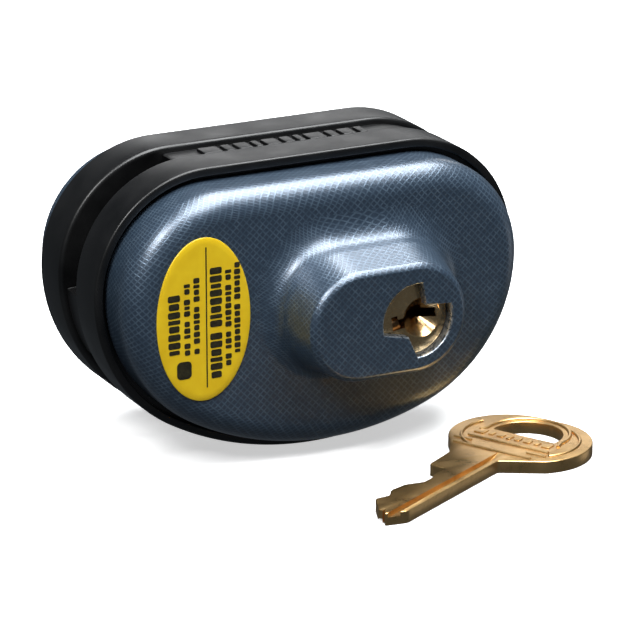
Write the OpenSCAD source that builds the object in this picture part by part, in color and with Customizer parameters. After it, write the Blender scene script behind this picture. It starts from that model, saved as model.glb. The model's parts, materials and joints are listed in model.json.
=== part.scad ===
// Keyed trigger lock: two oval halves that clamp over a trigger guard, with a loose key.
// X runs along the long side, +Y from the keyed front half to the rear half, +Z up.
// The origin is the middle of the gap between the pads, on the centre of the outline.

/* [Outline] */
// Half width of the metal covers on the plain side
half_w = 37.4; // [36.5:0.1:38.5]
// Half width of the metal covers on the side of the plug
plug_side_w = 35; // [34.5:0.1:37.4]
// Radius of the two upper corners
corner_r = 17.8; // [17:0.1:18.5]
// Radius of the two lower sides
side_r = 24.5; // [24.5:0.1:24.5]
// Height of the widest line above the centre
wide_z = 5.7; // [5:0.1:6.5]
// Radius of the belly arc
belly_r = 50; // [48:0.5:52]

/* [Covers] */
// Depth of each cover from its mouth to its face
cover_d = 10.05; // [9.5:0.05:11]
// Wall thickness of the covers
wall = 2.2; // [1.8:0.1:2.4]
// Radius of the rounded shoulder
shoulder = 4.3; // [3.5:0.1:4.6]

/* [Boss] */
// Width of the raised lock boss at its face
boss_w = 28.5; // [28:0.1:30]
// Height of the raised lock boss at its face
boss_h = 18.8; // [18.5:0.1:20]
// Corner radius of the boss
boss_r = 9.2; // [8.5:0.1:9.3]
// How far the boss stands out of the cover's face
boss_d = 10.6; // [10.6:0.1:11]

/* [Pads] */
// Half of the gap between the two pads
gap_half = 3.15; // [3:0.05:3.5]
// How far the pads stand out past the covers
pad_out = 2.35; // [2:0.05:2.6]
// Depth of the rim that faces the gap
rim_d = 3.8; // [3.5:0.1:4]
// Thickness of the pad's web
web_t = 2.5; // [2.4:0.1:2.6]
// Depth of the lip around the cover's mouth
lip_d = 1.8; // [1.5:0.1:2]

/* [Lock] */
// Radius of the key plug
plug_r = 6.22; // [6.2:0.01:6.24]
// Radius of the bore that the plug turns in
bore_r = 6.28; // [6.27:0.01:6.3]
// Angle of the keyway above the horizontal
key_tilt = 20; // [18:1:20]
// Distance between neighbouring pins
pin_pitch = 2.9; // [2.8:0.1:2.9]
// Radius of the pins
pin_r = 1.3; // [1.2:0.05:1.3]
// Radius of the cam pin's circle
cam_e = 1.13; // [1.13:0.01:1.13]
// Radius of the ratchet post
post_r = 3.2; // [3.2:0.05:3.2]
// Distance between the post's teeth
tooth_pitch = 1.6; // [1.5:0.1:1.6]

/* [Key] */
// Length of the key
key_l = 52; // [50:1:54]
// Thickness of the key
key_t = 2.2; // [2:0.1:2.4]
// Direction in which the key points on the surface
key_turn = 28.5; // [25:0.5:32]

/* [Hidden] */
$fn = 96;
eps = 0.01;

corner_x = half_w - corner_r;
side_x = half_w - side_r;
top_z = wide_z + corner_r;
belly_z = wide_z + sqrt(pow(belly_r - side_r, 2) - pow(side_x, 2));
belly_h = belly_z - wide_z;
plug_corner_x = plug_side_w - corner_r;
plug_side_x = (pow(belly_h, 2) - pow(belly_r - plug_side_w, 2)) / (2 * (belly_r - plug_side_w));
plug_side_r = plug_side_w - plug_side_x;
bottom_z = belly_z - belly_r;
floor_z = bottom_z - pad_out;

web_y = gap_half + rim_d;
mouth_y = web_y + web_t + 0.05;
lip_y = web_y + web_t + lip_d;
face_y = mouth_y + cover_d;
boss_y = face_y + boss_d;
plate_t = 1.5;
plate_y = mouth_y + plate_t;

boss_c = [4.1, 1.35];
plug_c = [9.2, 1.0];
post_c = [-3.2, 0];
screws = [[-17, 8], [20, 10], [3, -9.5]];
rear_screw_at = [[-19, 8], [19, 8], [0, -13]];
guides = [[-14, -8], [17, -8]];
screw_r = 1.5;

plug_front = boss_y - 1.75;
bore_back = plate_y + 4.0;
body_back = plate_y + 0.05;
channel_y = body_back + 2.0;
pin_y0 = bore_back + 2.9;

cover_blue = [0.30, 0.38, 0.48];
pad_black = [0.07, 0.07, 0.08];
brass = [0.72, 0.56, 0.30];
steel = [0.62, 0.63, 0.65];
zinc = [0.55, 0.56, 0.58];

// Extrudes an XZ outline from depth y0 towards the front, down to depth y1
module prism(y0, y1) {
    translate([0, y0, 0]) rotate([90, 0, 0]) linear_extrude(height = y0 - y1) children();
}

// The oval outline, grown by d: flat top, round upper corners, round sides, belly
module outline(d = 0) {
    big = 90;
    intersection() {
        union() {
            translate([-corner_x, wide_z]) circle(corner_r + d);
            translate([plug_corner_x, wide_z]) circle(corner_r + d);
            translate([-corner_x, wide_z - 2])
                square([corner_x + plug_corner_x, corner_r + 2 + d]);
        }
        translate([-big / 2, wide_z - eps]) square([big, big]);
    }
    intersection() {
        union() {
            translate([-side_x, wide_z]) circle(side_r + d);
            translate([plug_side_x, wide_z]) circle(plug_side_r + d);
            intersection() {
                translate([0, belly_z]) circle(belly_r + d);
                polygon([[0, belly_z], [3 * plug_side_x, belly_z - 3 * belly_h],
                    [-3 * side_x, belly_z - 3 * belly_h]]);
            }
        }
        translate([-big / 2, wide_z - big]) square([big, big]);
    }
}

// A ring between two parallel outlines
module ring(outer, inner) {
    difference() {
        outline(outer);
        outline(inner);
    }
}

// A rectangle with round corners, centred
module round_rect(w, h, r) {
    square([w - 2 * r, h], center = true);
    square([w, h - 2 * r], center = true);
    for (sx = [-1, 1], sz = [-1, 1])
        translate([sx * (w / 2 - r), sz * (h / 2 - r)]) circle(r);
}

// A pin along Y at point c, between depths y0 and y1
module pin(c, r, y0, y1) {
    translate([c[0], y0, c[1]]) rotate([90, 0, 0]) cylinder(r = r, h = y0 - y1);
}

// A cylinder that leaves the plug's axis towards the pin chambers, from radius a to b
module across(y, r, a, b) {
    translate([plug_c[0], y, plug_c[1]])
        rotate([0, -key_tilt, 0])
        translate([-a, 0, 0])
        rotate([0, -90, 0])
        cylinder(r = r, h = b - a);
}

function arc(c, r, a0, a1, n) =
    [for (i = [0:n]) let (a = a0 + (a1 - a0) * i / n) [c[0] + r * cos(a), c[1] + r * sin(a)]];

// Half of the oval from the top to the belly, as points: corner centre cx, side centre sx
function half_oval(d, cx, sx, sr) = let (t = atan2(belly_h, sx)) concat(
    arc([cx, wide_z], corner_r + d, 90, 0, 12),
    arc([sx, wide_z], sr + d, -6, -t, 8),
    arc([0, belly_z], belly_r + d, -t - 5, -86, 6));

// The same oval as outline(), as a polygon
module oval(d = 0) {
    right = half_oval(d, plug_corner_x, plug_side_x, plug_side_r);
    left = half_oval(d, corner_x, side_x, side_r);
    last = len(left) - 1;
    polygon(concat(right, [for (i = [0:last]) [-left[last - i][0], left[last - i][1]]]));
}

// Closed outer form of a cover, drawn for the front side: straight wall, then a round shoulder
module dish() {
    steps = 6;
    for (i = [0:steps]) {
        a = 90 * i / steps;
        prism(-mouth_y - 0.3 * i, -(face_y - shoulder + shoulder * sin(a)))
            oval(-shoulder * (1 - cos(a)));
    }
}

// One layer of the boss down to depth y: its size grows by g, and its centre rises by up
module boss_layer(y0, y, g, up) {
    w = boss_w / 2 + g;
    h = boss_h / 2 + g;
    r = boss_r + g * 0.8;
    translate([boss_c[0], 0, boss_c[1] + up]) prism(y0, y) polygon(concat(
        arc([w - r, h - r], r, 90, 0, 8), arc([w - r, r - h], r, 0, -90, 8),
        arc([r - w, r - h], r, -90, -180, 8), arc([r - w, h - r], r, 180, 90, 8)));
}

// The boss with its drafted walls and the flare at its foot
module boss_outer() {
    draft = 6;
    foot = 4;
    boss_layer(-face_y + 0.9, -boss_y, -0.8, 0);
    for (i = [0:draft - 1]) {
        k = i / draft;
        boss_layer(-face_y + 0.8 - 0.1 * i, -boss_y + 0.6 + k * (boss_d - 2.2), 1.3 * k, 0.5 * k);
    }
    for (i = [0:foot]) {
        k = i / foot;
        boss_layer(-face_y + 0.2 - 0.03 * i, -face_y - 1.8 * pow(1 - k, 2) - 0.05, 1.3 + 2.9 * k,
            0.5 + 1.1 * k);
    }
}

// Key opening: a circle with two leaning tabs left standing in it
module key_opening() {
    difference() {
        circle(bore_r);
        polygon([[1.53, 2.43], [0.7, 7.2], [7.5, 7.2], [7.5, 2.05]]);
        polygon([[-1.62, -2.61], [-7.5, -1.31], [-7.5, -7.2], [0.41, -7.2]]);
    }
}

module front_cover() {
    color(cover_blue) difference() {
        union() {
            difference() {
                union() {
                    dish();
                    boss_outer();
                }
                prism(-mouth_y + 1, -face_y + wall) oval(-wall);
                translate([boss_c[0], 0, boss_c[1]])
                    prism(-face_y + wall + 1, -boss_y + 1.7)
                    round_rect(boss_w - 3, boss_h - 3, boss_r - 1.5);
            }
            for (c = screws) pin(c, 3, -body_back - 3.45, -face_y + 1);
        }
        translate([plug_c[0], 0, plug_c[1]]) prism(-boss_y + 3, -boss_y - 1) key_opening();
        for (c = screws) pin(c, screw_r + 0.05, -mouth_y, -face_y + 1.6);
    }
}

module front_label() {
    color([0.93, 0.80, 0.10])
        translate([-24.4, -face_y - 0.02, 3.2]) rotate([90, 0, 0])
        linear_extrude(height = 0.2) union() {
            translate([0, 5.6]) circle(8.3);
            translate([0, -5.6]) circle(8.3);
            square([16.6, 11.2], center = true);
        }
}

// Pad of one half, drawn for the front side
module pad_solid(guide_r, at) {
    difference() {
        union() {
            prism(-gap_half, -web_y - eps) ring(pad_out, -2.2);
            prism(-web_y, -web_y - web_t) outline(pad_out);
            prism(-web_y - web_t + eps, -lip_y) ring(pad_out, 0.9);
        }
        pin(post_c, post_r + 0.4, 0, -20);
        for (c = guides) pin(c, guide_r, 0, -20);
        for (c = at) pin(c, screw_r + 0.15, 0, -20);
    }
}

module front_pad() {
    color(pad_black) {
        pad_solid(2.4, screws);
        prism(gap_half - 0.3, -gap_half - eps) intersection() {
            ring(1.4, -2.2);
            union() {
                translate([-21, 15]) square([45, 20]);
                translate([-50, -6.3]) square([20, 10.8]);
            }
        }
    }
}

// Steel plate that closes the mouth of a cover, drawn for the front side
module plate_solid(at, hole_r, guide_r) {
    difference() {
        prism(-mouth_y, -plate_y) outline(-wall - 0.3);
        pin(post_c, hole_r, 0, -20);
        for (c = guides) pin(c, guide_r, 0, -20);
        for (c = at) pin(c, screw_r + 0.15, 0, -20);
    }
}

module front_plate() {
    color(steel) plate_solid(screws, post_r + 0.1, 2.1);
}

// Pan-head screw with a cross slot, drawn for the front side
module screw(c, deep) {
    difference() {
        union() {
            pin(c, 2.7, -web_y + 1.6, -web_y + 0.05);
            pin(c, screw_r, -web_y + 0.06, -deep);
        }
        for (a = [0, 90])
            translate([c[0], -web_y + 1.3, c[1]]) rotate([0, a, 0])
                cube([3.2, 1.6, 0.7], center = true);
    }
}

module front_screws() {
    color(steel) for (c = screws) screw(c, face_y - 2.4);
}

module lock_body() {
    dx = cos(key_tilt);
    dz = sin(key_tilt);
    color(zinc) difference() {
        union() {
            translate([1, 0, 0.5]) prism(-body_back, -body_back - 3.4) round_rect(50, 25, 5);
            pin(plug_c, 7.4, -body_back - 3.3, -plug_front + 0.05);
            pin([plug_c[0] - 9.25 * dx, plug_c[1] - 9.25 * dz], 2.8,
                -body_back - 3.3, -plug_front + 0.05);
            translate([plug_c[0], 0, plug_c[1]]) prism(-body_back - 3.3, -plug_front + 0.05)
                rotate(key_tilt) translate([-9.25, -2.8]) square([9.25, 5.6]);
            pin(post_c, 5, -body_back - 3.3, -body_back - 5.8);
        }
        pin(plug_c, bore_r, -bore_back + 1, -plug_front - 1);
        pin(plug_c, 7.15, -body_back + 1, -bore_back);
        pin(post_c, post_r + 0.08, -body_back + 1, -body_back - 5.05);
        translate([post_c[0], -channel_y, -3.35]) cube([22.2 - post_c[0], 2.01, 8.7]);
        for (i = [0:3]) across(-pin_y0 - i * pin_pitch, pin_r + 0.05, 5, 14);
        for (c = screws) pin(c, screw_r + 0.15, -body_back + 1, -body_back - 5);
    }
}

// Warded keyway outline, along the local X axis
module keyway() {
    polygon([[-4.4, -1.2], [-1.6, -1.2], [-1.6, -0.5], [0.6, -0.5], [0.6, -1.2], [4.4, -1.2],
        [4.4, 0.4], [2.6, 0.4], [2.6, 1.2], [-0.9, 1.2], [-0.9, 0.5], [-2.8, 0.5],
        [-2.8, 1.2], [-4.4, 1.2]]);
}

module cylinder_plug() {
    color(brass) difference() {
        union() {
            pin(plug_c, plug_r, -bore_back + 0.05, -plug_front + 0.02);
            pin(plug_c, 5.3, -bore_back + 0.95, -bore_back);
            translate([plug_c[0], 0, plug_c[1]])
                prism(-bore_back + 1.35, -bore_back + 0.9) square(5, center = true);
        }
        translate([plug_c[0] + 1.6, -plug_front - 0.01, plug_c[1] - 0.1]) rotate([-90, 0, 0])
            cylinder(r1 = 3.45, r2 = 1.2, h = 1.7);
        translate([plug_c[0], 0, plug_c[1]])
            prism(-bore_back - 0.8, -plug_front - 1) rotate(key_tilt) keyway();
        for (i = [0:3]) across(-pin_y0 - i * pin_pitch, pin_r + 0.04, 1, 8);
    }
}

module key_pins() {
    color(brass) for (i = [0:3])
        across(-pin_y0 - i * pin_pitch, pin_r, 2.0 + 0.4 * (i % 2), 6.0);
}

module driver_pins() {
    color(steel) for (i = [0:3]) across(-pin_y0 - i * pin_pitch, pin_r, 6.35, 8.1);
}

// A small coil of n turns between radii a and b from the plug's axis
module coil(y, r, wire, a, b, n) {
    translate([plug_c[0], y, plug_c[1]]) rotate([0, -key_tilt, 0])
        translate([-a, 0, 0]) rotate([0, -90, 0])
        linear_extrude(height = b - a, twist = -360 * n, slices = 12 * n, $fn = 8)
        translate([r, 0]) circle(wire);
}

module pin_springs() {
    color(steel) for (i = [0:3])
        coil(-pin_y0 - i * pin_pitch, 0.8, 0.24, 8.2, 10.8, 3);
}

module chamber_plugs() {
    color(brass) for (i = [0:3]) across(-pin_y0 - i * pin_pitch, pin_r + 0.03, 10.9, 11.9);
}

module plug_clip() {
    color(steel) translate([plug_c[0], 0, plug_c[1]])
        prism(-bore_back + 0.85, -bore_back + 0.15) difference() {
            circle(7.0);
            circle(5.35);
            translate([-2, -9]) square([4, 6]);
        }
}

module cam() {
    cx = plug_c[0] - cam_e * sin(45);
    cz = plug_c[1] + cam_e * cos(45);
    color(steel) {
        difference() {
            pin(plug_c, 5.6, -bore_back + 1.85, -bore_back + 1.0);
            translate([plug_c[0], 0, plug_c[1]])
                prism(-bore_back + 1.4, -bore_back + 0.5) square(5.06, center = true);
        }
        pin([cx, cz], 1.2, -body_back - 0.45, -bore_back + 1.7);
    }
}

module pawl() {
    color(steel) prism(-body_back - 0.5, -channel_y + 0.1) difference() {
        polygon([[0.15, -1.2], [3.2, -3.2], [17.2, -3.2], [17.2, 5.2], [3.2, 5.2], [0.15, 1.2]]);
        translate([7.05, 0.35]) square([2.7, 3.2]);
    }
}

module pawl_spring() {
    turns = 4;
    color(steel) translate([17.3, -channel_y + 0.98, 1]) rotate([0, 90, 0])
        linear_extrude(height = 4.8, twist = -360 * turns, slices = 12 * turns, $fn = 8)
        translate([0.62, 0]) circle(0.22);
}

module rear_cover() {
    color(cover_blue) mirror([0, 1, 0]) difference() {
        union() {
            difference() {
                dish();
                prism(-mouth_y + 1, -face_y + wall) oval(-wall);
            }
            for (c = rear_screw_at) pin(c, 3, -plate_y - 0.05, -face_y + 1);
            pin(post_c, 4.6, -plate_y - 1.75, -face_y + 1);
        }
        for (c = rear_screw_at) pin(c, screw_r + 0.05, -mouth_y, -face_y + 1.6);
    }
}

module rear_pad() {
    color(pad_black) mirror([0, 1, 0]) pad_solid(2.05, rear_screw_at);
}

module rear_plate() {
    color(steel) mirror([0, 1, 0]) plate_solid(rear_screw_at, post_r + 0.05, 2.03);
}

module rear_screws() {
    color(steel) mirror([0, 1, 0]) for (c = rear_screw_at) screw(c, face_y - 2.4);
}

// Post with saw teeth; the profile's second value is the distance towards the front
module ratchet_post() {
    first = 8.6;
    count = 4;
    root = 2.5;
    teeth = [for (i = [0:count - 1], k = [0:2])
        let (h = first + i * tooth_pitch)
        k == 0 ? [post_r, h] : k == 1 ? [root, h] : [post_r, h + tooth_pitch - 0.2]];
    tip = first + count * tooth_pitch + 0.9;
    color(steel) translate([post_c[0], 0, post_c[1]]) rotate([90, 0, 0])
        rotate_extrude() polygon(concat(
            [[0, -plate_y - 1.65], [5.2, -plate_y - 1.65], [5.2, -plate_y - 0.05],
             [post_r, -plate_y - 0.05]],
            teeth,
            [[post_r, tip - 0.7], [post_r - 0.7, tip], [0, tip]]));
}

module guide_pins() {
    color(steel) for (c = guides) {
        pin(c, 3, plate_y + 1.4, plate_y + 0.05);
        pin(c, 2, plate_y + 0.06, -plate_y + 0.9);
        translate([c[0], -plate_y + 0.91, c[1]]) rotate([90, 0, 0])
            cylinder(r1 = 2, r2 = 1.3, h = 0.8);
    }
}

// Key outline along local X, tip at 0: straight spine below, cuts above, round bow
module key_outline() {
    neck = key_l - 10.3;
    cuts = [[1.2, -0.6], [1.2, 0.6], [4.9, 3.7], [7.4, 2.6], [9.4, 3.7], [12.8, 3.2],
        [15.6, 1.3], [18.2, 1.3], [19.0, 1.8], [22.6, 1.6], [22.8, 5.0], [29.6, 5.4]];
    far = arc([neck, 1.3], 10.2, 135, 0, 16);
    near = arc([neck, -3.1], 10.2, 0, -135, 16);
    polygon(concat([[3.4, -3.6], [0.2, -1.2]], cuts, far, near, [[30.3, -3.6]]));
}

module key_body() {
    hole = key_l - 8.2;
    linear_extrude(height = key_t) difference() {
        key_outline();
        polygon(arc([hole, -0.9], 6.0, 100, -100, 24));
    }
}

module key() {
    tip = [-8.4, -49.5];
    color(brass) translate([tip[0], tip[1], floor_z]) rotate([0, 0, key_turn])
        difference() {
            key_body();
            translate([2.4, -1.7, key_t - 0.6]) cube([27, 1.6, 1]);
        }
}

front_cover();
front_label();
front_pad();
front_plate();
front_screws();
lock_body();
cylinder_plug();
key_pins();
driver_pins();
pin_springs();
chamber_plugs();
plug_clip();
cam();
pawl();
pawl_spring();
rear_cover();
rear_pad();
rear_plate();
rear_screws();
ratchet_post();
guide_pins();
key();
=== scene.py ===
import json
import math

import bmesh
import bpy
import numpy as np
from mathutils import Matrix, Vector


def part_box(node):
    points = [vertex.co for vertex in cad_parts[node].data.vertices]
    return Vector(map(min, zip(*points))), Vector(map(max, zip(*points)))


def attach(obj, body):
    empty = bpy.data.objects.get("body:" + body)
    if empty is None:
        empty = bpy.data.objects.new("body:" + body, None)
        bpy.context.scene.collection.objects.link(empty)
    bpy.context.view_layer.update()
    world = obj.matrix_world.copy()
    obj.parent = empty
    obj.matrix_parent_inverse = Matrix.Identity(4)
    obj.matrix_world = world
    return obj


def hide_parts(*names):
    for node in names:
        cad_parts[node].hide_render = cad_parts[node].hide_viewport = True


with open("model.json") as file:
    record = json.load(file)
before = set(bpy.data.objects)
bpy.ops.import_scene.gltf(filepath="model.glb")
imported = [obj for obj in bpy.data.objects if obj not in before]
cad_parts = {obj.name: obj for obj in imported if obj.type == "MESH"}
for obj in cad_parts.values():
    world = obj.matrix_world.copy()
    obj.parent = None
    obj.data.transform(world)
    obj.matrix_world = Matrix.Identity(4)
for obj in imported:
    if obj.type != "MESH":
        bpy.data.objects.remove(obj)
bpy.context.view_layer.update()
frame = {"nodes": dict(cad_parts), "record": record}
MM = 0.001

# Sizes in mm, as in the CAD model.
# Outline: half widths on the plain side and the plug's side, radii of the top corners, the plain
# side and the bottom, and the height of the widest line
HALF_W, PLUG_SIDE_W = 37.4, 35.0
CORNER_R, SIDE_R, BELLY_R, WIDE_Z = 17.8, 24.5, 50.0, 5.7
SIDE_X = HALF_W - SIDE_R
BELLY_Z = WIDE_Z + math.sqrt((BELLY_R - SIDE_R) ** 2 - SIDE_X ** 2)
BELLY_H = BELLY_Z - WIDE_Z
PLUG_SIDE_X = (BELLY_H ** 2 - (BELLY_R - PLUG_SIDE_W) ** 2) / (2 * (BELLY_R - PLUG_SIDE_W))
TOP_Z = WIDE_Z + CORNER_R
# Distances from the middle of the groove along Y: pad rim, web, pad's back, cover's mouth, pad's
# lip, cover's face, plug's face, boss face
GAP, WEB_Y, PAD_BACK, MOUTH_Y, LIP_Y = 3.15, 6.95, 9.45, 9.5, 11.25
FACE_Y, PLUG_Y, BOSS_Y = 19.55, 28.42, 30.15
# Cover wall, shoulder radius, how far the pad stands out past the cover
WALL, SHOULDER, PAD_OUT = 2.2, 4.3, 2.35
# Boss: width, height, corner radius, edge, draft outwards and upwards, foot fillet's height,
# reach and upward shift
BOSS_W, BOSS_H, BOSS_R, BOSS_EDGE = 28.5, 18.8, 9.2, 0.95
DRAFT, DRAFT_UP = 1.15, 0.75
FOOT_H, FOOT_REACH, FOOT_UP = 3.7, 3.6, 1.3
# Key opening's radius, and the inside of the boss face that the plug sits behind
OPENING_R, SEAT_Y = 6.28, 28.45
# Centres as (x, z)
BOSS_C, PLUG_C, POST_C = (4.1, 1.35), (9.2, 1.0), (-3.2, 0.0)
# Holes and pins through the pads, centres as (x, z)
SCREWS = [(-17, 8), (20, 10), (3, -9.5)]
REAR_SCREWS = [(-19, 8), (19, 8), (0, -13)]
GUIDES = [(-14, -8), (17, -8)]
POST_HOLE_R, SCREW_HOLE_R = 3.6, 1.65
# How far the wall in the groove stands out past the oval, and the keyway's tilt in degrees
PAD_WALL_OUT, SLOT_TILT = 1.4, 8.54
# Key: length, thickness, turn on the floor in degrees, place of the tip; u runs from the tip to
# the bow and v across, towards the cuts
KEY_L, KEY_T, KEY_TURN, KEY_TIP = 52.0, 2.2, 28.5, (-8.4, -49.5)
BOW_U, BOW_V, BOW_R = KEY_L - 10.3, -0.9, 10.2
BOW_SPREAD = 2.2
HOLE_U, HOLE_R, SPINE_V = KEY_L - 8.2, 6.0, -3.6
FLOOR_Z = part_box("key")[0].z / MM


# ---------------------------------------------------------------- mesh helpers
def link(obj):
    bpy.context.scene.collection.objects.link(obj)
    return obj


def arc(cx, cz, r, a0, a1, n):
    """n + 1 points on a circle between two angles in degrees."""
    a = np.radians(np.linspace(a0, a1, n + 1))
    return np.stack([cx + r * np.cos(a), cz + r * np.sin(a)], 1)


def half_oval(d, k, half_w, side_x):
    """Half of the oval grown by d, from the top middle to the bottom middle on the +X side."""
    corner_x, side_r = half_w - CORNER_R, half_w - side_x
    t = math.degrees(math.atan2(BELLY_H, side_x))
    top = np.stack([np.linspace(0, corner_x, 14 * k + 1), np.full(14 * k + 1, TOP_Z + d)], 1)
    return np.concatenate([
        top[:-1],
        arc(corner_x, WIDE_Z, CORNER_R + d, 90, 0, 26 * k)[:-1],
        arc(side_x, WIDE_Z, side_r + d, 0, -t, 24 * k)[:-1],
        arc(0, BELLY_Z, BELLY_R + d, -t, -90, 24 * k)])


def oval(d, k=1):
    """Closed oval outline grown by d, clockwise from the top middle; every d has matching points."""
    right = half_oval(d, k, PLUG_SIDE_W, PLUG_SIDE_X)
    left = half_oval(d, k, HALF_W, SIDE_X)
    return np.concatenate([right, left[1:-1][::-1] * [-1, 1]])


def round_rect(w, h, r, cx, cz, n=40):
    a, b = w / 2 - r, h / 2 - r
    parts = [arc(cx + a, cz + b, r, 90, 0, n), arc(cx + a, cz - b, r, 0, -90, n),
             arc(cx - a, cz - b, r, -90, -180, n), arc(cx - a, cz + b, r, 180, 90, n)]
    return np.concatenate(parts)


def at_angles(curve, theta, c):
    """Points where rays at theta from c meet a closed curve that is star-shaped about c."""
    rel = curve - np.array(c)
    seg = np.concatenate([rel, rel[:1]])
    dense = np.concatenate([seg[i] + (seg[i + 1] - seg[i]) * np.linspace(0, 1, 12)[:-1, None]
                            for i in range(len(rel))])
    ang = np.mod(np.arctan2(dense[:, 1], dense[:, 0]), 2 * math.pi)
    rad = np.hypot(dense[:, 0], dense[:, 1])
    order = np.argsort(ang)
    r = np.interp(theta, ang[order], rad[order], period=2 * math.pi)
    return np.stack([c[0] + r * np.cos(theta), c[1] + r * np.sin(theta)], 1)


def flat_uv(ring):
    """UVs in mm straight from x and z."""
    return ring[:, [0, 2]]


def make_mesh(name, verts, faces, mats=(), face_mats=None, uvs=None, sharp=35.0):
    me = bpy.data.meshes.new(name)
    me.from_pydata([tuple(v) for v in (np.asarray(verts) * MM).tolist()], [], faces)
    for m in mats:
        me.materials.append(m)
    if face_mats is not None:
        me.polygons.foreach_set("material_index", face_mats)
    if uvs is not None:
        layer = me.uv_layers.new(name="lines")
        layer.data.foreach_set("uv", np.asarray(uvs, np.float32).ravel())
    bm = bmesh.new()
    bm.from_mesh(me)
    bmesh.ops.recalc_face_normals(bm, faces=bm.faces)
    bm.to_mesh(me)
    bm.free()
    me.shade_smooth()
    me.set_sharp_from_angle(angle=math.radians(sharp))
    return link(bpy.data.objects.new(name, me))


def loft(name, rings, mats, closed=True, caps=False, bands=None, uv_pairs=None, sharp=35.0):
    """Quads between rings of equal length. rings: list of (n, 3) arrays in mm."""
    n = len(rings[0])
    verts = np.concatenate(rings)
    faces, fm, uv = [], [], []
    count = len(rings) if closed else len(rings) - 1
    for k in range(count):
        a, b = k * n, ((k + 1) % len(rings)) * n
        for i in range(n):
            j = (i + 1) % n
            faces.append((a + i, a + j, b + j, b + i))
            fm.append(bands[k] if bands else 0)
            if uv_pairs:
                ua, ub = uv_pairs[k]
                uv += [ua[i], ua[j], ub[j], ub[i]]
    if caps:
        for k, flip in ((0, False), (len(rings) - 1, True)):
            f = list(range(k * n, (k + 1) * n))
            faces.append(tuple(f[::-1] if flip else f))
            fm.append(bands[0] if bands else 0)
            if uv_pairs:
                uv += [uv_pairs[min(k, count - 1)][0][i - k * n] for i in (f[::-1] if flip else f)]
    return make_mesh(name, verts, faces, mats, fm, uv if uv_pairs else None, sharp)


def ring3(xz, y):
    """(x, z) points set at y."""
    return np.stack([xz[:, 0], np.full(len(xz), float(y)), xz[:, 1]], 1)


def prism_mesh(name, poly, lo, hi, axis="Y", mats=()):
    """Extrudes a 2D polygon along Y (poly = x, z) or Z (poly = x, y)."""
    p = np.asarray(poly, float)
    if axis == "Y":
        rings = [ring3(p, lo), ring3(p, hi)]
    else:
        rings = [np.column_stack([p, np.full(len(p), z)]) for z in (lo, hi)]
    return loft(name, rings, mats, closed=False, caps=True)


def cylinder(name, c, r, y0, y1):
    return prism_mesh(name, arc(c[0], c[1], r, 0, 360, 64)[:-1], y0, y1)


def turned(name, c, profile, n, mats=(), sharp=35.0):
    """Solid turned about the line through c along Y, from (radius, y) pairs."""
    a = np.linspace(0, 2 * math.pi, n, endpoint=False)
    rings = [ring3(np.stack([c[0] + r * np.cos(a), c[1] + r * np.sin(a)], 1), y) for r, y in profile]
    return loft(name, rings, mats, closed=False, caps=True, sharp=sharp)


def boolean(obj, cutters, sharp=35.0):
    """Cuts obj with each cutter, keeps the result as obj's own mesh and removes the cutters."""
    for c in cutters:
        m = obj.modifiers.new("cut", "BOOLEAN")
        m.operation, m.solver, m.object = "DIFFERENCE", "EXACT", c
    bpy.context.view_layer.update()
    me = bpy.data.meshes.new_from_object(obj.evaluated_get(bpy.context.evaluated_depsgraph_get()))
    obj.modifiers.clear()
    obj.data = me
    me.shade_smooth()
    me.set_sharp_from_angle(angle=math.radians(sharp))
    for c in cutters:
        bpy.data.objects.remove(c)


def join(name, objs):
    """One mesh object from several, keeping their material slots."""
    bm = bmesh.new()
    mats = []
    for o in objs:
        me = o.data.copy()
        me.transform(o.matrix_world)
        index = []
        for m in me.materials:
            if m not in mats:
                mats.append(m)
            index.append(mats.index(m))
        start = len(bm.faces)
        bm.from_mesh(me)
        bm.faces.ensure_lookup_table()
        for f in bm.faces[start:]:
            f.material_index = index[f.material_index] if index else 0
        bpy.data.objects.remove(o)
    out = bpy.data.meshes.new(name)
    bm.to_mesh(out)
    bm.free()
    for m in mats:
        out.materials.append(m)
    return link(bpy.data.objects.new(name, out))


def soft_box(name, c, size, r, mats, segments=3):
    """Small block with all edges rounded, centre c and size in mm."""
    bm = bmesh.new()
    bmesh.ops.create_cube(bm, size=1.0)
    for v in bm.verts:
        v.co = Vector([(v.co[i] * size[i] + c[i]) * MM for i in range(3)])
    bmesh.ops.bevel(bm, geom=list(bm.edges), offset=r * MM, segments=segments, profile=0.6,
                    affect="EDGES")
    me = bpy.data.meshes.new(name)
    bm.to_mesh(me)
    bm.free()
    for m in mats:
        me.materials.append(m)
    me.shade_smooth()
    me.set_sharp_from_angle(angle=math.radians(40))
    return link(bpy.data.objects.new(name, me))


# ---------------------------------------------------------------- materials
def new_mat(name):
    m = bpy.data.materials.new(name)
    m.use_nodes = True
    nt = m.node_tree
    bsdf = next(n for n in nt.nodes if n.type == "BSDF_PRINCIPLED")
    return m, nt, bsdf


def node(nt, kind, **kw):
    """New shader node; keywords starting with in_ set its sockets, the rest its properties."""
    n = nt.nodes.new(kind)
    for k, v in kw.items():
        if k.startswith("in_"):
            n.inputs[k[3:]].default_value = v
        else:
            setattr(n, k, v)
    return n


def object_coords(nt):
    return node(nt, "ShaderNodeTexCoord").outputs["Object"]


def math_node(nt, op, a, b):
    n = node(nt, "ShaderNodeMath", operation=op)
    for i, v in enumerate((a, b)):
        if isinstance(v, (int, float)):
            n.inputs[i].default_value = v
        else:
            nt.links.new(v, n.inputs[i])
    return n.outputs[0]


def noise(nt, coord, scale, detail=3.0, rough=0.5):
    n = node(nt, "ShaderNodeTexNoise", in_Scale=scale, in_Detail=detail, in_Roughness=rough)
    nt.links.new(coord, n.inputs["Vector"])
    return n.outputs["Fac"]


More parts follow.
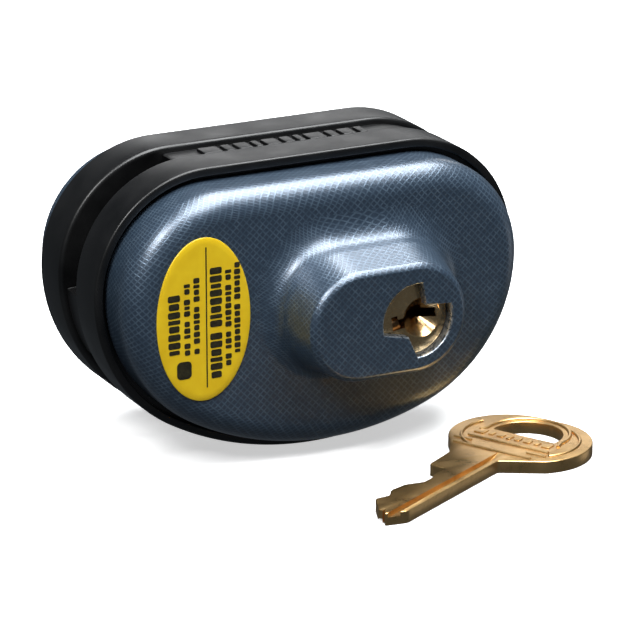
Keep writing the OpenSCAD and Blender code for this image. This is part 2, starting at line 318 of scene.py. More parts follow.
def ramp(nt, fac, stops):
    n = node(nt, "ShaderNodeValToRGB")
    e = n.color_ramp.elements
    e[0].position, e[0].color = stops[0][0], (*stops[0][1], 1)
    e[1].position, e[1].color = stops[-1][0], (*stops[-1][1], 1)
    for p, c in stops[1:-1]:
        e.new(p).color = (*c, 1)
    nt.links.new(fac, n.inputs[0])
    return n.outputs[0]


def remap(nt, v, a, b, lo, hi, smooth=False):
    """Maps a..b to lo..hi, clamped."""
    n = node(nt, "ShaderNodeMapRange")
    if smooth:
        n.interpolation_type = "SMOOTHSTEP"
    nt.links.new(v, n.inputs[0])
    for i, x in enumerate((a, b, lo, hi)):
        n.inputs[i + 1].default_value = x
    return n.outputs[0]


def bump(nt, bsdf, height, strength, distance):
    b = node(nt, "ShaderNodeBump", in_Strength=strength, in_Distance=distance)
    nt.links.new(height, b.inputs["Height"])
    nt.links.new(b.outputs[0], bsdf.inputs["Normal"])


def paint_material():
    """Blue-grey metallic coat with crossed raised lines of the casting, from the lines UV in mm; the
    lines carry a painted highlight.
    """
    m, nt, b = new_mat("cover_paint")
    uv = node(nt, "ShaderNodeUVMap", uv_map="lines")
    sep = node(nt, "ShaderNodeSeparateXYZ")
    nt.links.new(uv.outputs[0], sep.inputs[0])
    obj = object_coords(nt)
    uneven = math_node(nt, "SUBTRACT", noise(nt, obj, 700.0, 2.0), 0.5)
    wobble = math_node(nt, "MULTIPLY", uneven, 0.3)
    pitch = 0.84
    lines = []
    for s in (1.0, -1.0):
        t = math_node(nt, "ADD", sep.outputs[0], math_node(nt, "MULTIPLY", sep.outputs[1], s))
        t = math_node(nt, "ADD", math_node(nt, "DIVIDE", t, pitch * math.sqrt(2)), wobble)
        tri = math_node(nt, "PINGPONG", t, 0.5)
        lines.append(remap(nt, tri, 0.26, 0.47, 0.0, 1.0, smooth=True))
    ridge = math_node(nt, "MAXIMUM", lines[0], lines[1])
    patch = remap(nt, noise(nt, obj, 620.0, 4.0, 0.6), 0.38, 0.62, 0.5, 1.0)
    ridge = math_node(nt, "MULTIPLY", ridge, patch)
    grain = noise(nt, obj, 4200.0, 3.0, 0.6)
    height = math_node(nt, "ADD", ridge, math_node(nt, "MULTIPLY", grain, 0.30))
    bump(nt, b, height, 0.45, 0.00006)
    # The raised lines are painted lighter than the paint between them: a painted highlight for the
    # light they catch, with random tone mixed in.
    tone = math_node(nt, "ADD", math_node(nt, "MULTIPLY", ridge, 0.62),
                     math_node(nt, "MULTIPLY", noise(nt, obj, 1700.0, 4.0, 0.6), 0.38))
    col = ramp(nt, tone, [(0.12, (0.030, 0.052, 0.086)), (0.45, (0.052, 0.086, 0.132)),
                          (0.9, (0.120, 0.175, 0.24))])
    nt.links.new(col, b.inputs["Base Color"])
    nt.links.new(remap(nt, noise(nt, obj, 420.0, 3.0), 0.3, 0.7, 0.31, 0.39), b.inputs["Roughness"])
    b.inputs["Metallic"].default_value = 0.5
    b.inputs["Specular IOR Level"].default_value = 0.6
    b.inputs["Coat Weight"].default_value = 0.8
    b.inputs["Coat Roughness"].default_value = 0.33
    b.inputs["Coat IOR"].default_value = 1.65
    return m


def edge_material():
    """The cut edge of the key opening: bare zinc with thin paint left in it."""
    m, nt, b = new_mat("opening_edge")
    obj = object_coords(nt)
    n = noise(nt, obj, 1800.0, 4.0)
    col = ramp(nt, n, [(0.35, (0.16, 0.19, 0.23)), (0.65, (0.42, 0.46, 0.50))])
    nt.links.new(col, b.inputs["Base Color"])
    nt.links.new(remap(nt, n, 0.3, 0.7, 0.22, 0.4), b.inputs["Roughness"])
    b.inputs["Metallic"].default_value = 0.9
    bump(nt, b, noise(nt, obj, 3500.0, 2.0), 0.25, 0.00004)
    return m


def rubber_material():
    """Satin black moulded rubber."""
    m, nt, b = new_mat("pad_rubber")
    obj = object_coords(nt)
    n = noise(nt, obj, 160.0, 4.0)
    fine = noise(nt, obj, 4200.0, 3.0, 0.6)
    col = ramp(nt, n, [(0.3, (0.00224, 0.00224, 0.00242)), (0.7, (0.00544, 0.00544, 0.00577))])
    nt.links.new(col, b.inputs["Base Color"])
    nt.links.new(remap(nt, n, 0.3, 0.7, 0.28, 0.42), b.inputs["Roughness"])
    h = math_node(nt, "ADD", math_node(nt, "MULTIPLY", fine, 0.6), math_node(nt, "MULTIPLY", n, 0.8))
    bump(nt, b, h, 0.22, 0.00006)
    b.inputs["Specular IOR Level"].default_value = 0.5
    return m


def metal_material(name, dark, light, rough, scratch=0.35, stretch=(1, 1, 1), patina=None):
    """Machined metal: brushed streaks along one way, uneven roughness, soft stains."""
    m, nt, b = new_mat(name)
    obj = object_coords(nt)
    mp = node(nt, "ShaderNodeMapping")
    nt.links.new(obj, mp.inputs[0])
    mp.inputs["Scale"].default_value = stretch
    mp.inputs["Rotation"].default_value = (0, 0, math.radians(-KEY_TURN))
    streak = noise(nt, mp.outputs[0], 2600.0, 4.0, 0.6)
    cloud = noise(nt, obj, 210.0, 4.0, 0.55)
    tone = math_node(nt, "ADD", math_node(nt, "MULTIPLY", streak, 0.45),
                     math_node(nt, "MULTIPLY", cloud, 0.55))
    col = ramp(nt, tone, [(0.33, dark), (0.66, light)])
    if patina:
        mask = remap(nt, noise(nt, obj, 520.0, 5.0, 0.65), 0.5, 0.72, 0.0, 0.32, smooth=True)
        mix = node(nt, "ShaderNodeMix", data_type="RGBA")
        nt.links.new(mask, mix.inputs["Factor"])
        nt.links.new(col, mix.inputs["A"])
        mix.inputs["B"].default_value = (*patina, 1)
        col = mix.outputs["Result"]
    nt.links.new(col, b.inputs["Base Color"])
    nt.links.new(remap(nt, tone, 0.3, 0.7, rough[0], rough[1]), b.inputs["Roughness"])
    b.inputs["Metallic"].default_value = 1.0
    bump(nt, b, streak, scratch, 0.00002)
    return m


def label_material():
    """Glossy yellow film."""
    m, nt, b = new_mat("label_film")
    obj = object_coords(nt)
    n = noise(nt, obj, 300.0, 4.0)
    col = ramp(nt, n, [(0.3, (0.78, 0.50, 0.010)), (0.7, (0.86, 0.59, 0.016))])
    nt.links.new(col, b.inputs["Base Color"])
    nt.links.new(remap(nt, noise(nt, obj, 900.0, 3.0), 0.3, 0.7, 0.28, 0.42), b.inputs["Roughness"])
    bump(nt, b, noise(nt, obj, 700.0, 3.0), 0.12, 0.00005)
    b.inputs["Coat Weight"].default_value = 0.25
    b.inputs["Coat Roughness"].default_value = 0.2
    return m


def ink_material():
    """Dark print on the label."""
    m, nt, b = new_mat("label_ink")
    obj = object_coords(nt)
    n = noise(nt, obj, 2500.0, 4.0)
    col = ramp(nt, n, [(0.3, (0.010, 0.009, 0.006)), (0.75, (0.035, 0.030, 0.012))])
    nt.links.new(col, b.inputs["Base Color"])
    nt.links.new(remap(nt, n, 0.3, 0.7, 0.35, 0.5), b.inputs["Roughness"])
    return m


PAINT, EDGE, RUBBER = paint_material(), edge_material(), rubber_material()
# Dark brown brass for the key pins: painted shade, darker than the pins' own brass, for the dark
# inside of the keyway.
KEYWAY_PAINTED_SHADE = metal_material("keyway_pins_painted_shade", (0.10, 0.055, 0.03), (0.24, 0.14, 0.06), (0.30, 0.45), 0.3)
BRASS_KEY = metal_material("key_brass_worn", (0.70, 0.43, 0.17), (0.90, 0.59, 0.26), (0.24, 0.38),
                           0.4, (1, 14, 14), (0.44, 0.24, 0.08))
BRASS_PLUG = metal_material("plug_brass_turned", (0.62, 0.38, 0.17), (0.90, 0.65, 0.36),
                            (0.14, 0.26), 0.25)
STEEL = metal_material("plated_steel", (0.42, 0.43, 0.45), (0.62, 0.63, 0.66), (0.26, 0.42),
                       0.3, (1, 1, 6))
POST_STEEL = metal_material("hard_steel", (0.24, 0.25, 0.26), (0.40, 0.41, 0.43), (0.28, 0.45),
                            0.3, (6, 1, 6))
SPRING_STEEL = metal_material("spring_wire", (0.45, 0.46, 0.48), (0.66, 0.67, 0.70), (0.2, 0.35), 0.2)
ZINC = metal_material("cast_zinc", (0.30, 0.31, 0.33), (0.48, 0.49, 0.51), (0.42, 0.6), 0.5)
LABEL, INK = label_material(), ink_material()

SLOT_MATS = {"cover_blue": PAINT, "label_yellow": LABEL, "pad_black": RUBBER, "steel": STEEL,
             "zinc": ZINC, "plug_brass": BRASS_PLUG, "spring_steel": SPRING_STEEL,
             "post_steel": POST_STEEL, "key_brass": BRASS_KEY}
slot_of = {s["node"]: s["material_slot"] for s in frame["record"]["subparts"]}
for name, obj in frame["nodes"].items():
    for s in obj.material_slots:
        # The key pins get the dark keyway material, a painted shade for the inside of the keyway.
        s.material = KEYWAY_PAINTED_SHADE if name == "key_pins" else SLOT_MATS[slot_of[name]]


# ---------------------------------------------------------------- covers
def normals_of(ring):
    """Outward normals of a closed 2D ring."""
    t = np.roll(ring, -1, 0) - np.roll(ring, 1, 0)
    n = np.stack([t[:, 1], -t[:, 0]], 1)
    n /= np.maximum(np.linalg.norm(n, axis=1), 1e-9)[:, None]
    if np.sum(n * (ring - ring.mean(0))) < 0:
        n = -n
    return n


def unrolled(rings, start):
    """UVs in mm that run on past the last flat ring without a break."""
    out = [start]
    for a, b in zip(rings[:-1], rings[1:]):
        step = np.linalg.norm(b - a, axis=1)[:, None]
        out.append(out[-1] + normals_of(flat_uv(b)) * step)
    return out


# The two tabs that narrow the key opening, as (x, z) corners from the plug's axis
TABS = [[(5.9, 2.15), (1.53, 2.43), (0.87, 6.22)], [(-6.07, -1.63), (-1.62, -2.61), (0.0, -6.28)]]


def opening(theta):
    """Key opening about the plug's axis, a circle with two leaning tabs: radius at each angle."""
    r = np.full(len(theta), OPENING_R)
    ray = np.stack([np.cos(theta), np.sin(theta)], 1)
    for tab in TABS:
        at = [math.atan2(z, x) % (2 * math.pi) for x, z in tab]
        for (p, q), (lo, hi) in zip(zip(tab, tab[1:]), zip(at, at[1:])):
            e = np.subtract(q, p)
            hit = (p[0] * e[1] - p[1] * e[0]) / (ray[:, 0] * e[1] - ray[:, 1] * e[0] + 1e-12)
            inside = (theta >= lo - 1e-6) & (theta <= hi + 1e-6)
            r = np.where(inside, np.minimum(r, hit), r)
    return r


def shoulder_profile():
    """(growth of the outline, distance along Y) from the face over the shoulder to the mouth."""
    turn = np.radians(np.linspace(0, 90, 13))[1:]
    out = [(-SHOULDER * (1 - math.sin(a)), FACE_Y - SHOULDER * (1 - math.cos(a))) for a in turn]
    return out + [(0, y) for y in np.linspace(FACE_Y - SHOULDER, MOUTH_Y + 0.2, 6)[1:]]


def front_cover():
    """Shell with the boss, as one ring of quads for each step of its section."""
    base = np.linspace(0, 2 * math.pi, 420, endpoint=False)
    extra = [math.atan2(z, x) % (2 * math.pi) for tab in TABS for x, z in tab]
    theta = np.unique(np.round(np.concatenate([base, extra]), 6))
    hole = opening(theta)

    def hole_ring(grow, y):
        r = hole + grow
        return ring3(np.stack([PLUG_C[0] + r * np.cos(theta), PLUG_C[1] + r * np.sin(theta)], 1), y)

    def boss_ring(g, up, y):
        w, h = BOSS_W + 2 * g, BOSS_H + 2 * g
        c = round_rect(w, h, min(BOSS_R + 0.8 * g, h / 2 - 0.05), BOSS_C[0], BOSS_C[1] + up)
        return ring3(at_angles(c, theta, PLUG_C), y)

    def cover_ring(d, y):
        return ring3(at_angles(oval(d, 2), theta, PLUG_C), y)

    # opening wall and its chamfer
    wall = [hole_ring(0, -SEAT_Y), hole_ring(0, -29.3), hole_ring(0, -29.9), hole_ring(0.12, -30.08),
            hole_ring(0.26, -BOSS_Y)]
    rings, bands, pairs = [wall[0]], [], []

    def add(seq, uvs, band=0):
        """Appends rings; uvs starts with those of the ring before."""
        rings.extend(seq)
        bands.extend([band] * len(seq))
        pairs.extend(zip(uvs[:-1], uvs[1:]))

    add(wall[1:], [flat_uv(r) for r in wall], 1)
    # boss face
    edge0 = boss_ring(-BOSS_EDGE, 0, -BOSS_Y)
    steps = (0.04, 0.15, 0.3, 0.45, 0.6, 0.75, 0.9, 0.97, 1.0)
    mid = [wall[-1] + (edge0 - wall[-1]) * t for t in steps]
    add(mid, [flat_uv(wall[-1])] * 2 + [flat_uv(r) for r in mid[1:]])
    # boss edge (between a round and a chamfer), drafted wall, concave foot
    side = []
    for a in np.radians(np.linspace(0, 90, 9))[1:]:
        s, c = math.sin(a) ** 1.5, max(math.cos(a), 0) ** 1.5
        side.append(boss_ring(-BOSS_EDGE * (1 - s), 0, -(BOSS_Y - BOSS_EDGE * (1 - c))))
    wall_top, wall_end = BOSS_Y - BOSS_EDGE, FACE_Y + FOOT_H
    for t in np.linspace(0, 1, 8)[1:]:
        side.append(boss_ring(DRAFT * t, DRAFT_UP * t, -(wall_top + (wall_end - wall_top) * t)))
    for a in np.radians(np.linspace(0, 90, 12))[1:]:
        s, c = math.sin(a), math.cos(a)
        side.append(boss_ring(DRAFT + FOOT_REACH * (1 - c), DRAFT_UP + FOOT_UP * (1 - c),
                              -(FACE_Y + FOOT_H * (1 - s))))
    add(side, unrolled([edge0] + side, flat_uv(edge0)))
    # face
    rim, foot = cover_ring(-SHOULDER, -FACE_Y), side[-1]
    face = [foot + (rim - foot) * t for t in np.linspace(0, 1, 15)[1:]]
    add(face, [flat_uv(r) for r in [foot] + face])
    # shoulder and wall
    skirt = [cover_ring(d, -y) for d, y in shoulder_profile()]
    uv_skirt = unrolled([rim] + skirt, flat_uv(rim))
    add(skirt, uv_skirt)
    # mouth and inside, closed back to the opening wall
    cavity = at_angles(round_rect(BOSS_W - 3, BOSS_H - 3, BOSS_R - 1.5, *BOSS_C), theta, PLUG_C)
    inside = [cover_ring(-0.2, -MOUTH_Y), cover_ring(-WALL, -MOUTH_Y),
              cover_ring(-WALL, -FACE_Y + WALL), ring3(cavity, -FACE_Y + WALL), ring3(cavity, -SEAT_Y)]
    add(inside, [uv_skirt[-1]] + [flat_uv(r) for r in inside])
    bands.append(0)
    pairs.append((flat_uv(inside[-1]), flat_uv(rings[0])))
    o = loft("front_cover_shell", rings, [PAINT, EDGE], bands=bands, uv_pairs=pairs, sharp=40)
    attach(o, "front_half")
    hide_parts("front_cover")


def rear_cover():
    """Plain shell with the same outline and shoulder."""
    shrink = [0.12, 0.3, 0.5, 0.7, 0.88]
    rim = ring3(oval(-SHOULDER), FACE_Y)
    flat = [rim * [t, 1, t] for t in shrink] + [rim]
    skirt = [ring3(oval(d), y) for d, y in shoulder_profile()]
    uv = unrolled([rim] + skirt, flat_uv(rim))
    inner = [ring3(oval(-0.2), MOUTH_Y), ring3(oval(-WALL), MOUTH_Y),
             ring3(oval(-WALL), FACE_Y - WALL)]
    inner += [inner[-1] * [t, 1, t] for t in shrink[::-1]]
    rings = flat + skirt + inner
    uvs = [flat_uv(r) for r in flat] + uv[1:] + [flat_uv(r) for r in inner]
    pairs = list(zip(uvs[:-1], uvs[1:]))
    o = loft("rear_cover_shell", rings, [PAINT], closed=False, caps=True, uv_pairs=pairs, sharp=40)
    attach(o, "rear_half")
    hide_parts("rear_cover")


# ---------------------------------------------------------------- pads
def rounded_profile(points, n):
    """Closed (d, y) polyline with each (d, y, r) corner rounded in n steps."""
    out = []
    m = len(points)
    for i, (d, y, r) in enumerate(points):
        p = np.array([d, y])
        if r <= 0:
            out.append(p)
            continue
        a = np.array(points[i - 1][:2]) - p
        b = np.array(points[(i + 1) % m][:2]) - p
        a, b = a / np.linalg.norm(a), b / np.linalg.norm(b)
        for t in np.linspace(0, 1, n + 1):
            out.append(p + a * r * (1 - t) ** 2 + b * r * t ** 2)
    return out


def pad(name, side, body, node_name, screws, guide_r):
    """Rubber pad: web, rim to the gap, lip round the cover's mouth. side -1 is the front half."""
    inner, rim_in, lip_in = -17.0, -2.2, 0.9
    prof = rounded_profile([(rim_in, WEB_Y, 0.8), (rim_in, GAP, 0.6), (PAD_OUT, GAP, 0.8),
                            (PAD_OUT, LIP_Y, 0.55), (lip_in, LIP_Y, 0.3), (lip_in, PAD_BACK, 0)], 5)
    rings = [ring3(oval(inner), side * WEB_Y) * [t, 1, t] for t in (0.1, 0.5)]
    rings += [ring3(oval(d), side * WEB_Y) for d in (inner, -12.0, -7.0, -4.5)]
    rings += [ring3(oval(d), side * y) for d, y in prof]
    rings += [ring3(oval(d), side * PAD_BACK) for d in (-3.0, -9.0, inner)]
    rings += [ring3(oval(inner), side * PAD_BACK) * [t, 1, t] for t in (0.5, 0.1)]
    o = loft(name, rings, [RUBBER], closed=False, caps=True, sharp=50)
    holes = [(POST_C, POST_HOLE_R)] + [(c, guide_r) for c in GUIDES]
    holes += [(c, SCREW_HOLE_R) for c in screws]
    boolean(o, [cylinder("hole", c, r, side * 5, side * 12) for c, r in holes], sharp=40)
    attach(o, body)
    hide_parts(node_name)


def pad_wall(name, pick):
    """Wall on the front pad that crosses the groove, along the part of the oval that pick keeps."""
    lo, hi, foot, top = -1.2, PAD_WALL_OUT, -GAP - 0.05, GAP - 0.3
    sec = rounded_profile([(lo, foot, 0), (lo, top, 0.4), (hi, top, 0.5), (hi, foot, 0)], 4)
    curves = [oval(p[0], 2) for p in sec]
    keep = np.nonzero(pick(curves[0]))[0]
    n = len(curves[0])
    gaps = np.nonzero(np.diff(np.concatenate([keep, [keep[0] + n]])) > 1)[0]
    order = np.roll(keep, -(gaps[0] + 1))
    rings = [np.array([[c[i][0], p[1], c[i][1]] for c, p in zip(curves, sec)]) for i in order]

    def tip(last, before):
        mid = last.mean(0)
        out = mid - before.mean(0)
        return mid + (last - mid) * 0.86 + out / np.linalg.norm(out) * 0.45

    rings = [tip(rings[0], rings[1])] + rings + [tip(rings[-2], rings[-3])]
    o = loft(name, rings, [RUBBER], closed=False, caps=True, sharp=45)
    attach(o, "front_half")


front_cover()
rear_cover()
pad("front_pad_moulding", -1, "front_half", "front_pad", SCREWS, 2.4)
pad("rear_pad_moulding", 1, "rear_half", "rear_pad", REAR_SCREWS, 2.05)
pad_wall("front_pad_wall_top", lambda c: (c[:, 1] > 12) & (c[:, 0] > -21) & (c[:, 0] < 24))
pad_wall("front_pad_wall_side", lambda c: (c[:, 0] < -20) & (c[:, 1] > -6.3) & (c[:, 1] < 4.5))


def pad_bars():
    """Plain raised bars along the top of the wall in the groove."""
    bars, x, space = [], -15.5, 0.75
    for w in (3.4, 1.6, 2.4, 1.2, 2.6, 1.8, 1.2, 3.2, 1.6, 2.4, 1.4):
        centre = (x + w / 2, -0.15, TOP_Z + PAD_WALL_OUT + 0.1)
        bars.append(soft_box("bar", centre, (w, 3.3, 0.62), 0.18, [RUBBER]))
        x += w + space
    o = join("front_pad_bars", bars)
    o.data.shade_smooth()
    o.data.set_sharp_from_angle(angle=math.radians(40))
    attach(o, "front_half")


pad_bars()


# ---------------------------------------------------------------- label
def label():
    """Thin oval film with a soft edge, and plain bars printed on it."""
    cx, cz, rx, rz = -24.4, 3.2, 8.35, 13.85
    t = np.linspace(0, 2 * math.pi, 160, endpoint=False)
    unit = np.stack([np.cos(t), np.sin(t)], 1)

    # inset from the edge and height above the cover's face
    section = [(rx - 0.4, 0.02), (4, 0.02), (0.02, 0.02), (0, 0.08), (0.03, 0.16), (0.12, 0.2),
               (1.2, 0.2), (4, 0.2), (rx - 0.4, 0.2)]
    rings = [ring3(unit * [rx - inset, rz - inset] + [cx, cz], -FACE_Y - h) for inset, h in section]
    film = loft("front_label_film", rings, [LABEL], closed=False, caps=True, sharp=60)
    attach(film, "front_half")
    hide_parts("front_label")
    ink = []

    def bar(u, v0, v1, w):
        h = v1 - v0
        c = round_rect(w, h, min(w, h) * 0.28, cx + u, cz + (v0 + v1) / 2, 4)
        ink.append(prism_mesh("ink", c, -FACE_Y - 0.195, -FACE_Y - 0.235, mats=[INK]))

    # columns of plain letter-sized bars: place, width, start and letters per word
    columns = [(-5.3, 2.15, -5.2, (8,)), (-3.0, 1.1, -5.6, (2, 3, 3, 2)),
               (-1.3, 1.1, -5.6, (1, 6, 4)), (2.15, 2.15, -10.2, (6, 8)),
               (4.35, 1.1, -8.4, (2, 3, 7, 2)), (5.95, 1.1, -6.4, (8, 6))]
    for u, w, v, words in columns:
        step = 1.42 if w > 1.5 else 1.16
        for k, letters in enumerate(words):
            for i in range(letters):
                long = step * (0.78 if (i * 3 + k + letters) % 4 else 0.50)
                wide = w * (1.0 if (i + k) % 3 else 0.86)
                bar(u, v, v + long, wide)
                v += long + step * 0.20
            v += step * 0.55
    # thin rule between the two halves, and one block
    bar(0.45, -11.6, 12.2, 0.22)
    bar(-3.6, -9.6, -6.6, 2.6)
    for i in ink:
        i.data.shade_flat()
    p = join("front_label_print", ink)
    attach(p, "front_half")


label()


# ---------------------------------------------------------------- plug
def plug():
    """Turned plug with an off-centre lead-in cone and a warded keyway through its face."""
    profile = [(r, -PLUG_Y) for r in (0.2, 2.0, 4.0, 5.9)]
    profile += [(6.08, -28.36), (6.2, -28.22), (6.2, -15.1), (6.1, -14.97), (5.3, -14.95),
                (5.3, -14.1), (0.2, -14.1)]
    o = turned("plug_turned", PLUG_C, profile, 144, [BRASS_PLUG], 25)
    way = np.array([[-3.9, -1.2], [-1.6, -1.2], [-1.6, -0.5], [0.6, -0.5], [0.6, -1.2], [4.4, -1.2],
                    [4.4, 0.4], [2.6, 0.4], [2.6, 1.2], [-0.9, 1.2], [-0.9, 0.5], [-2.8, 0.5],
                    [-2.8, 1.2], [-3.9, 1.2]])
    k = math.radians(SLOT_TILT)
    way = way @ np.array([[math.cos(k), math.sin(k)], [-math.sin(k), math.cos(k)]]) + PLUG_C
    cone = [(0.5, -25.6), (0.7, -25.65), (3.3, -28.30), (3.36, -28.36), (3.46, -28.44), (3.6, -29.0)]
    lead = turned("lead", (PLUG_C[0] + 1.6, PLUG_C[1] - 0.1), cone, 96)
    boolean(o, [lead, prism_mesh("way", way, -30, -16.2, "Y", [KEYWAY_PAINTED_SHADE])], sharp=25)
    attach(o, "plug")
    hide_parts("cylinder_plug")


plug()


# ---------------------------------------------------------------- key
def key_outline():
    """Closed outline: tip, cuts, shoulder, far and near side of the bow, neck."""
    cuts = [[1.2, -0.6], [1.2, 0.6], [4.9, 3.7], [7.4, 2.6], [9.4, 3.7], [12.8, 3.2], [15.6, 1.3],
            [18.2, 1.3], [19.0, 1.8], [22.6, 1.6], [22.8, 5.0], [29.6, 5.4]]
    far = arc(BOW_U, BOW_V + BOW_SPREAD, BOW_R, 135, 0, 28)
    near = arc(BOW_U, BOW_V - BOW_SPREAD, BOW_R, 0, -135, 28)
    return np.concatenate([[[3.4, SPINE_V], [0.2, -1.2]], cuts, far, near, [[30.3, SPINE_V]]])


def round_corners(poly, r, n=3):
    """Rounds the sharp corners of a closed 2D outline."""
    out = []
    m = len(poly)
    for i in range(m):
        p, a, b = poly[i], poly[i - 1] - poly[i], poly[(i + 1) % m] - poly[i]
        la, lb = np.linalg.norm(a), np.linalg.norm(b)
        if la < 1e-6 or lb < 1e-6:
            continue
        turn = abs(a[0] * b[1] - a[1] * b[0]) / (la * lb)
        if turn < 0.15:
            out.append(p)
            continue
        q = min(r, 0.4 * la, 0.4 * lb)
        for t in np.linspace(0, 1, n + 1):
            out.append(p + a / la * q * (1 - t) ** 2 + b / lb * q * t ** 2)
    return np.array(out)


def flat_shape(name, loops, thick, bevel, mats):
    """Plate with rounded edges from closed 2D loops in mm; the second and later loops are holes."""
    cu = bpy.data.curves.new(name, "CURVE")
    cu.dimensions, cu.fill_mode = "2D", "BOTH"
    for lp in loops:
        sp = cu.splines.new("POLY")
        sp.points.add(len(lp) - 1)
        for i, p in enumerate(lp):
            sp.points[i].co = (p[0] * MM, p[1] * MM, 0, 1)
        sp.use_cyclic_u = True
    cu.extrude = (thick / 2 - bevel) * MM
    cu.bevel_depth = bevel * MM
    cu.bevel_resolution = 2
    cu.offset = -bevel * MM
    tmp = link(bpy.data.objects.new(name, cu))
    bpy.context.view_layer.update()
    me = bpy.data.meshes.new_from_object(tmp.evaluated_get(bpy.context.evaluated_depsgraph_get()))
    bpy.data.objects.remove(tmp)
    bm = bmesh.new()
    bm.from_mesh(me)
    bmesh.ops.remove_doubles(bm, verts=bm.verts, dist=1e-6)
    bmesh.ops.recalc_face_normals(bm, faces=bm.faces)
    for v in bm.verts:
        v.co.z += thick / 2 * MM
    bm.to_mesh(me)
    bm.free()
    me.materials.clear()
    for m in mats:
        me.materials.append(m)
    me.shade_smooth()
    me.set_sharp_from_angle(angle=math.radians(30))
    return link(bpy.data.objects.new(name, me))


def ridge(pts, z, r):
    """Low rounded raised line through 2D points on the key's face."""
    pts = np.asarray(pts, float)
    t = np.gradient(pts, axis=0)
    t /= np.linalg.norm(t, axis=1)[:, None]
    side = np.stack([-t[:, 1], t[:, 0]], 1)
    a = np.radians(np.array([0, 35, 65, 90, 115, 145, 180, 235, 305]))
    up = z + np.where(np.sin(a) > 0, 0.95, 0.3) * r * np.sin(a)
    rings = [np.column_stack([p[0] + s[0] * r * np.cos(a), p[1] + s[1] * r * np.cos(a), up])
             for p, s in zip(pts, side)]
    return loft("ridge", rings, [BRASS_KEY], closed=False, caps=True, sharp=50)


def groove(v0, v1, depth, u1, z, s):
    """Cutter for a square groove from the tip to u1 that runs out upwards; s is the side it faces."""
    rings = []
    for u, d in ((-1, depth), (u1 - 4.5, depth), (u1 - 2.0, depth * 0.7), (u1, 0.02)):
        cut = [(v0, z + s * 0.4), (v0 + 0.05, z - s * d), (v1 - 0.12, z - s * d), (v1, z + s * 0.4)]
        rings.append(np.array([[u, v, w] for v, w in cut]))
    return loft("groove", rings, [BRASS_KEY], closed=False, caps=True)


def key():
    """Plate with two milled grooves, a notched tip and raised lines, laid on the floor."""
    hole = arc(HOLE_U, BOW_V, HOLE_R, 100, -100, 40)
    body = flat_shape("key_blank", [round_corners(key_outline(), 0.5), round_corners(hole, 0.8, 5)],
                      KEY_T, 0.22, [BRASS_KEY])
    grooves = [groove(-2.85, -1.45, 0.75, 33.6, KEY_T, 1), groove(-0.2, 1.4, 0.7, 33.2, 0.0, -1)]
    boolean(body, grooves, sharp=22)
    notch = prism_mesh("notch", [(-0.6, -1.0), (1.9, -0.45), (-0.6, 0.35)], -1, 4, "Z", [BRASS_KEY])
    boolean(body, [notch], sharp=22)
    parts = [body]
    z = KEY_T - 0.02
    # straight lines across the bow: place, ends, points, radius
    for u, v0, v1, n, r in ((34.0, -7.6, 7.4, 12, 0.33), (38.0, -8.6, 7.0, 12, 0.33),
                            (36.1, 5.2, 8.6, 5, 0.30), (36.1, -9.2, -5.6, 5, 0.30)):
        parts.append(ridge([(u, v) for v in np.linspace(v0, v1, n)], z, r))
    # arcs inside the bow's edge, and the loop round the hole
    edge_r, loop_r, foot = 8.0, 7.2, 7.6
    parts.append(ridge(arc(BOW_U, BOW_V + BOW_SPREAD, edge_r, 158, 66, 26), z, 0.33))
    parts.append(ridge(arc(BOW_U, BOW_V - BOW_SPREAD, edge_r, -20, -128, 28), z, 0.33))
    loop = np.concatenate([[(HOLE_U - 2.6, BOW_V + foot)], arc(HOLE_U, BOW_V, loop_r, 98, -98, 44),
                           [(HOLE_U - 2.6, BOW_V - foot)]])
    parts.append(ridge(loop, z, 0.36))
    # row of plain raised bars: length along v and width
    v, space = -7.6, 0.75
    for w, h in ((1.5, 1.92), (0.9, 1.36), (1.3, 1.36), (1.0, 1.36), (0.7, 1.76), (1.2, 1.36),
                 (0.9, 1.36), (1.9, 1.92)):
        centre = (40.6, v + w / 2, KEY_T + 0.02)
        parts.append(soft_box("mark", centre, (h, w, 0.3), 0.12, [BRASS_KEY], 2))
        v += w + space
    k = join("key_finished", parts)
    k.data.shade_smooth()
    k.data.set_sharp_from_angle(angle=math.radians(24))
    # onto the floor in front of the lock
    place = Vector((*KEY_TIP, FLOOR_Z)) * MM
    k.data.transform(Matrix.Translation(place) @ Matrix.Rotation(math.radians(KEY_TURN), 4, "Z"))
    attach(k, "key")
    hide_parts("key")


key()

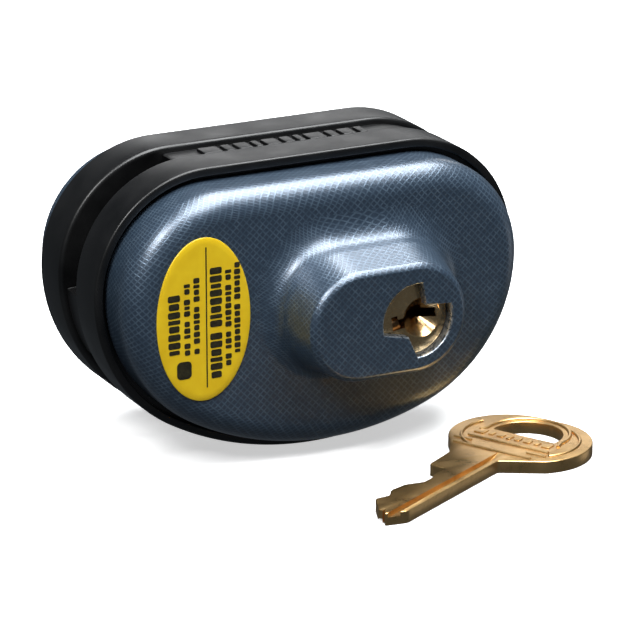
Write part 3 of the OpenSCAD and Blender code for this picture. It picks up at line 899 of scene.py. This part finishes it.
# ---------------------------------------------------------------- stage, light, camera
sc = bpy.context.scene
half, level = 4000, FLOOR_Z - 0.02
fl = make_mesh("floor", [(-half, -half, level), (half, -half, level), (half, half, level),
                         (-half, half, level)], [(0, 1, 2, 3)])
fm, fnt, fb = new_mat("floor_pale")
stops = [(0.3, (0.90, 0.90, 0.90)), (0.7, (0.93, 0.93, 0.93))]
fnt.links.new(ramp(fnt, noise(fnt, object_coords(fnt), 2.0), stops), fb.inputs["Base Color"])
fb.inputs["Roughness"].default_value = 0.9
fb.inputs["Specular IOR Level"].default_value = 0.1
fb.inputs["Emission Color"].default_value = (1, 1, 1, 1)
fb.inputs["Emission Strength"].default_value = 0.55
fl.data.materials.append(fm)
# the metals mirror the dark room and the lamps, not the floor
fl.visible_glossy = fl.visible_diffuse = False

world = bpy.data.worlds.new("studio")
sc.world = world
world.use_nodes = True
bg = world.node_tree.nodes["Background"]
bg.inputs[0].default_value = (0.80, 0.90, 1.0, 1)
bg.inputs[1].default_value = 0.09


def area(name, loc, size, radiance, color=(1, 1, 1)):
    """Rectangular lamp in metres that faces the origin; radiance is the brightness of its face."""
    d = bpy.data.lights.new(name, "AREA")
    d.shape, d.size, d.size_y, d.color = "RECTANGLE", size[0], size[1], color
    d.energy = radiance * math.pi * size[0] * size[1]
    o = link(bpy.data.objects.new(name, d))
    o.location = loc
    o.rotation_euler = (-Vector(loc)).to_track_quat("-Z", "Y").to_euler()
    o.visible_camera = False


area("top_softbox", (0.16, -0.08, 0.80), (1.10, 0.56), 10.5, (0.97, 0.99, 1.0))
area("key_light", (-0.60, -0.42, 0.72), (0.30, 0.30), 26.0)
area("back_card", (0.50, 0.95, 0.34), (0.70, 0.20), 1.9)
area("right_card", (0.95, -0.10, -0.22), (0.40, 0.30), 0.7)

# Camera: width of the view at the target and distance, in mm; then azimuth and elevation
VIEW_W, DISTANCE = 320.0 / 3, 630.0
az, el = math.radians(-27.0), math.radians(18.7)
back = Vector((math.sin(az) * math.cos(el), -math.cos(az) * math.cos(el), math.sin(el)))
target = Vector((1.35, -10.35, -3.6)) * MM
cam = bpy.data.cameras.new("camera")
cam.sensor_width = 36.0
cam.lens = cam.sensor_width * DISTANCE / VIEW_W
co = link(bpy.data.objects.new("camera", cam))
co.location = target + back * DISTANCE * MM
co.rotation_euler = back.to_track_quat("Z", "Y").to_euler()
cam.clip_start, cam.clip_end = 0.01, 20.0
sc.camera = co
sc.view_settings.view_transform = "Standard"
sc.view_settings.look = "None"
